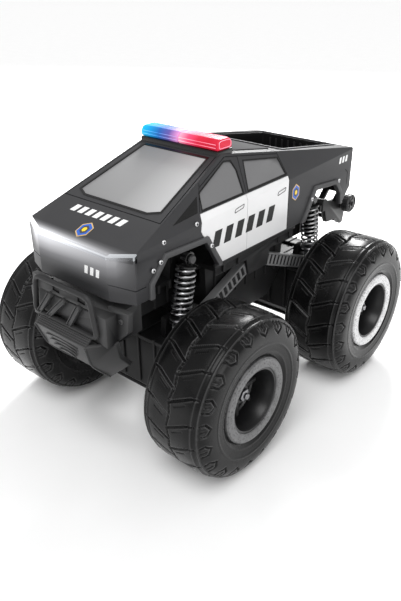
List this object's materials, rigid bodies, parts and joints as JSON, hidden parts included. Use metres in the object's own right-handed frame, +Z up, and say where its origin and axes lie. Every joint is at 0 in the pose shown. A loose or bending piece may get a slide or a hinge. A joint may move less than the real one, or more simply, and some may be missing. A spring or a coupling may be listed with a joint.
{
  "type": "rc stunt truck",
  "caption": "Remote control pickup truck with a faceted wedge body, roof light bar, bull bar, coil shocks, swinging axles, balloon tyres and rear wheelie wheels",
  "frame": {"origin": "on the ground midway between the axles and midway between the left and right wheels, under the middle of the overall box", "axes": "-Y is forwards, +X is the truck's left side, +Z is up"},
  "size_m": [0.2022, 0.2898, 0.198],
  "materials": {
    "body_charcoal": "satin charcoal moulded ABS",
    "smoked_window": "smoked glossy window insert",
    "white_panel": "white satin panel",
    "light_strip": "frosted white light guide",
    "red_lens": "translucent red lens, lit",
    "blue_lens": "translucent blue lens, lit",
    "black_plastic": "matt black nylon",
    "bumper_plastic": "matt dark grey nylon",
    "battery_wrap": "blue shrink wrap",
    "circuit_board": "green solder mask",
    "switch_grey": "matt grey",
    "motor_can": "plated steel can",
    "pinion_brass": "machined brass",
    "tyre_rubber": "soft black rubber",
    "rim_plastic": "white ring on a dark hub",
    "axle_steel": "turned steel",
    "damper_plastic": "glossy black",
    "shock_rod_steel": "polished steel",
    "spring_steel": "bright spring wire"
  },
  "bodies": {
    "chassis": {"body_shell": "body_charcoal", "windshield": "smoked_window", "side_glazing_left": "smoked_window", "side_glazing_right": "smoked_window", "door_panel_left": "white_panel", "door_panel_right": "white_panel", "bed_liner": "black_plastic", "headlight_strip": "light_strip", "light_bar_base": "black_plastic", "light_bar_lens_red": "red_lens", "light_bar_lens_blue": "blue_lens", "chassis_deck": "black_plastic", "chassis_tub": "black_plastic", "battery_door": "black_plastic", "battery_pack": "battery_wrap", "control_board": "circuit_board", "front_bumper": "bumper_plastic", "bull_bar": "bumper_plastic", "rear_frame": "bumper_plastic"},
    "switch": {"power_switch": "switch_grey"},
    "wheelie_wheel_left": {"wheelie_wheel_left": "black_plastic"},
    "wheelie_wheel_right": {"wheelie_wheel_right": "black_plastic"},
    "front_axle": {"front_axle_housing": "black_plastic", "front_axle_cover": "black_plastic", "front_left_motor": "motor_can", "front_right_motor": "motor_can"},
    "front_left_shock_upper": {"front_left_shock_body": "damper_plastic", "front_left_shock_spring": "spring_steel"},
    "front_left_shock_lower": {"front_left_shock_rod": "shock_rod_steel"},
    "front_left_wheel": {"front_left_tyre": "tyre_rubber", "front_left_rim": "rim_plastic", "front_left_axle_shaft": "axle_steel"},
    "front_left_pinion": {"front_left_pinion": "pinion_brass"},
    "front_right_shock_upper": {"front_right_shock_body": "damper_plastic", "front_right_shock_spring": "spring_steel"},
    "front_right_shock_lower": {"front_right_shock_rod": "shock_rod_steel"},
    "front_right_wheel": {"front_right_tyre": "tyre_rubber", "front_right_rim": "rim_plastic", "front_right_axle_shaft": "axle_steel"},
    "front_right_pinion": {"front_right_pinion": "pinion_brass"},
    "rear_axle": {"rear_axle_housing": "black_plastic", "rear_axle_cover": "black_plastic", "rear_left_motor": "motor_can", "rear_right_motor": "motor_can"},
    "rear_left_shock_upper": {"rear_left_shock_body": "damper_plastic", "rear_left_shock_spring": "spring_steel"},
    "rear_left_shock_lower": {"rear_left_shock_rod": "shock_rod_steel"},
    "rear_left_wheel": {"rear_left_tyre": "tyre_rubber", "rear_left_rim": "rim_plastic", "rear_left_axle_shaft": "axle_steel"},
    "rear_left_pinion": {"rear_left_pinion": "pinion_brass"},
    "rear_right_shock_upper": {"rear_right_shock_body": "damper_plastic", "rear_right_shock_spring": "spring_steel"},
    "rear_right_shock_lower": {"rear_right_shock_rod": "shock_rod_steel"},
    "rear_right_wheel": {"rear_right_tyre": "tyre_rubber", "rear_right_rim": "rim_plastic", "rear_right_axle_shaft": "axle_steel"},
    "rear_right_pinion": {"rear_right_pinion": "pinion_brass"}
  },
  "joints": [
    {"name": "power_switch_slide", "type": "slide", "parent": "chassis", "child": "switch", "axis": [0, 1, 0], "range_m": [0, 0.004]},
    {"name": "wheelie_wheel_left_spin", "type": "hinge", "parent": "chassis", "child": "wheelie_wheel_left", "pos_m": [0.038, 0.1375, 0.1123], "axis": [1, 0, 0], "continuous": true},
    {"name": "wheelie_wheel_right_spin", "type": "hinge", "parent": "chassis", "child": "wheelie_wheel_right", "pos_m": [-0.038, 0.1375, 0.1123], "axis": [1, 0, 0], "continuous": true},
    {"name": "front_axle_swing", "type": "hinge", "parent": "chassis", "child": "front_axle", "pos_m": [0, -0.006, 0.107], "axis": [-1, 0, 0], "range_deg": [0, 6], "stiffness_Nm_per_rad": 3, "springref_deg": -17.19},
    {"name": "front_left_shock_tilt", "type": "hinge", "parent": "chassis", "child": "front_left_shock_upper", "pos_m": [0.0412, -0.072, 0.134], "axis": [-1, 0, 0], "range_deg": [0, 4.57]},
    {"name": "front_left_shock_stroke", "type": "slide", "parent": "front_left_shock_upper", "child": "front_left_shock_lower", "axis": [0, 0.1999, 0.9798], "range_m": [0, 0.00757], "deforming": ["front_left_shock_spring"]},
    {"name": "front_left_wheel_spin", "type": "hinge", "parent": "front_axle", "child": "front_left_wheel", "pos_m": [0.0758, -0.076, 0.055], "axis": [1, 0, 0], "continuous": true},
    {"name": "front_left_pinion_spin", "type": "hinge", "parent": "front_axle", "child": "front_left_pinion", "pos_m": [0.0365, -0.076, 0.068], "axis": [1, 0, 0], "continuous": true},
    {"name": "front_right_shock_tilt", "type": "hinge", "parent": "chassis", "child": "front_right_shock_upper", "pos_m": [-0.0412, -0.072, 0.134], "axis": [-1, 0, 0], "range_deg": [0, 4.57]},
    {"name": "front_right_shock_stroke", "type": "slide", "parent": "front_right_shock_upper", "child": "front_right_shock_lower", "axis": [0, 0.1999, 0.9798], "range_m": [0, 0.00757], "deforming": ["front_right_shock_spring"]},
    {"name": "front_right_wheel_spin", "type": "hinge", "parent": "front_axle", "child": "front_right_wheel", "pos_m": [-0.0758, -0.076, 0.055], "axis": [1, 0, 0], "continuous": true},
    {"name": "front_right_pinion_spin", "type": "hinge", "parent": "front_axle", "child": "front_right_pinion", "pos_m": [-0.0365, -0.076, 0.068], "axis": [1, 0, 0], "continuous": true},
    {"name": "rear_axle_swing", "type": "hinge", "parent": "chassis", "child": "rear_axle", "pos_m": [0, 0.006, 0.107], "axis": [1, 0, 0], "range_deg": [0, 6], "stiffness_Nm_per_rad": 3, "springref_deg": -17.19},
    {"name": "rear_left_shock_tilt", "type": "hinge", "parent": "chassis", "child": "rear_left_shock_upper", "pos_m": [0.0412, 0.0696, 0.1345], "axis": [1, 0, 0], "range_deg": [0, 3.19]},
    {"name": "rear_left_shock_stroke", "type": "slide", "parent": "rear_left_shock_upper", "child": "rear_left_shock_lower", "axis": [0, -0.0843, 0.9964], "range_m": [0, 0.00711], "deforming": ["rear_left_shock_spring"]},
    {"name": "rear_left_wheel_spin", "type": "hinge", "parent": "rear_axle", "child": "rear_left_wheel", "pos_m": [0.0758, 0.076, 0.055], "axis": [1, 0, 0], "continuous": true},
    {"name": "rear_left_pinion_spin", "type": "hinge", "parent": "rear_axle", "child": "rear_left_pinion", "pos_m": [0.0365, 0.076, 0.068], "axis": [1, 0, 0], "continuous": true},
    {"name": "rear_right_shock_tilt", "type": "hinge", "parent": "chassis", "child": "rear_right_shock_upper", "pos_m": [-0.0412, 0.0696, 0.1345], "axis": [1, 0, 0], "range_deg": [0, 3.19]},
    {"name": "rear_right_shock_stroke", "type": "slide", "parent": "rear_right_shock_upper", "child": "rear_right_shock_lower", "axis": [0, -0.0843, 0.9964], "range_m": [0, 0.00711], "deforming": ["rear_right_shock_spring"]},
    {"name": "rear_right_wheel_spin", "type": "hinge", "parent": "rear_axle", "child": "rear_right_wheel", "pos_m": [-0.0758, 0.076, 0.055], "axis": [1, 0, 0], "continuous": true},
    {"name": "rear_right_pinion_spin", "type": "hinge", "parent": "rear_axle", "child": "rear_right_pinion", "pos_m": [-0.0365, 0.076, 0.068], "axis": [1, 0, 0], "continuous": true}
  ],
  "couplings": [
    {"joint": "front_left_shock_tilt", "follows": "front_axle_swing", "ratio": 0.73914},
    {"joint": "front_left_shock_stroke", "follows": "front_axle_swing", "m_per_rad": 0.070416},
    {"joint": "front_left_pinion_spin", "follows": "front_left_wheel_spin", "ratio": -3},
    {"joint": "front_right_shock_tilt", "follows": "front_axle_swing", "ratio": 0.73914},
    {"joint": "front_right_shock_stroke", "follows": "front_axle_swing", "m_per_rad": 0.070416},
    {"joint": "front_right_pinion_spin", "follows": "front_right_wheel_spin", "ratio": -3},
    {"joint": "rear_left_shock_tilt", "follows": "rear_axle_swing", "ratio": 0.51241},
    {"joint": "rear_left_shock_stroke", "follows": "rear_axle_swing", "m_per_rad": 0.066133},
    {"joint": "rear_left_pinion_spin", "follows": "rear_left_wheel_spin", "ratio": -3},
    {"joint": "rear_right_shock_tilt", "follows": "rear_axle_swing", "ratio": 0.51241},
    {"joint": "rear_right_shock_stroke", "follows": "rear_axle_swing", "m_per_rad": 0.066133},
    {"joint": "rear_right_pinion_spin", "follows": "rear_right_wheel_spin", "ratio": -3}
  ]
}
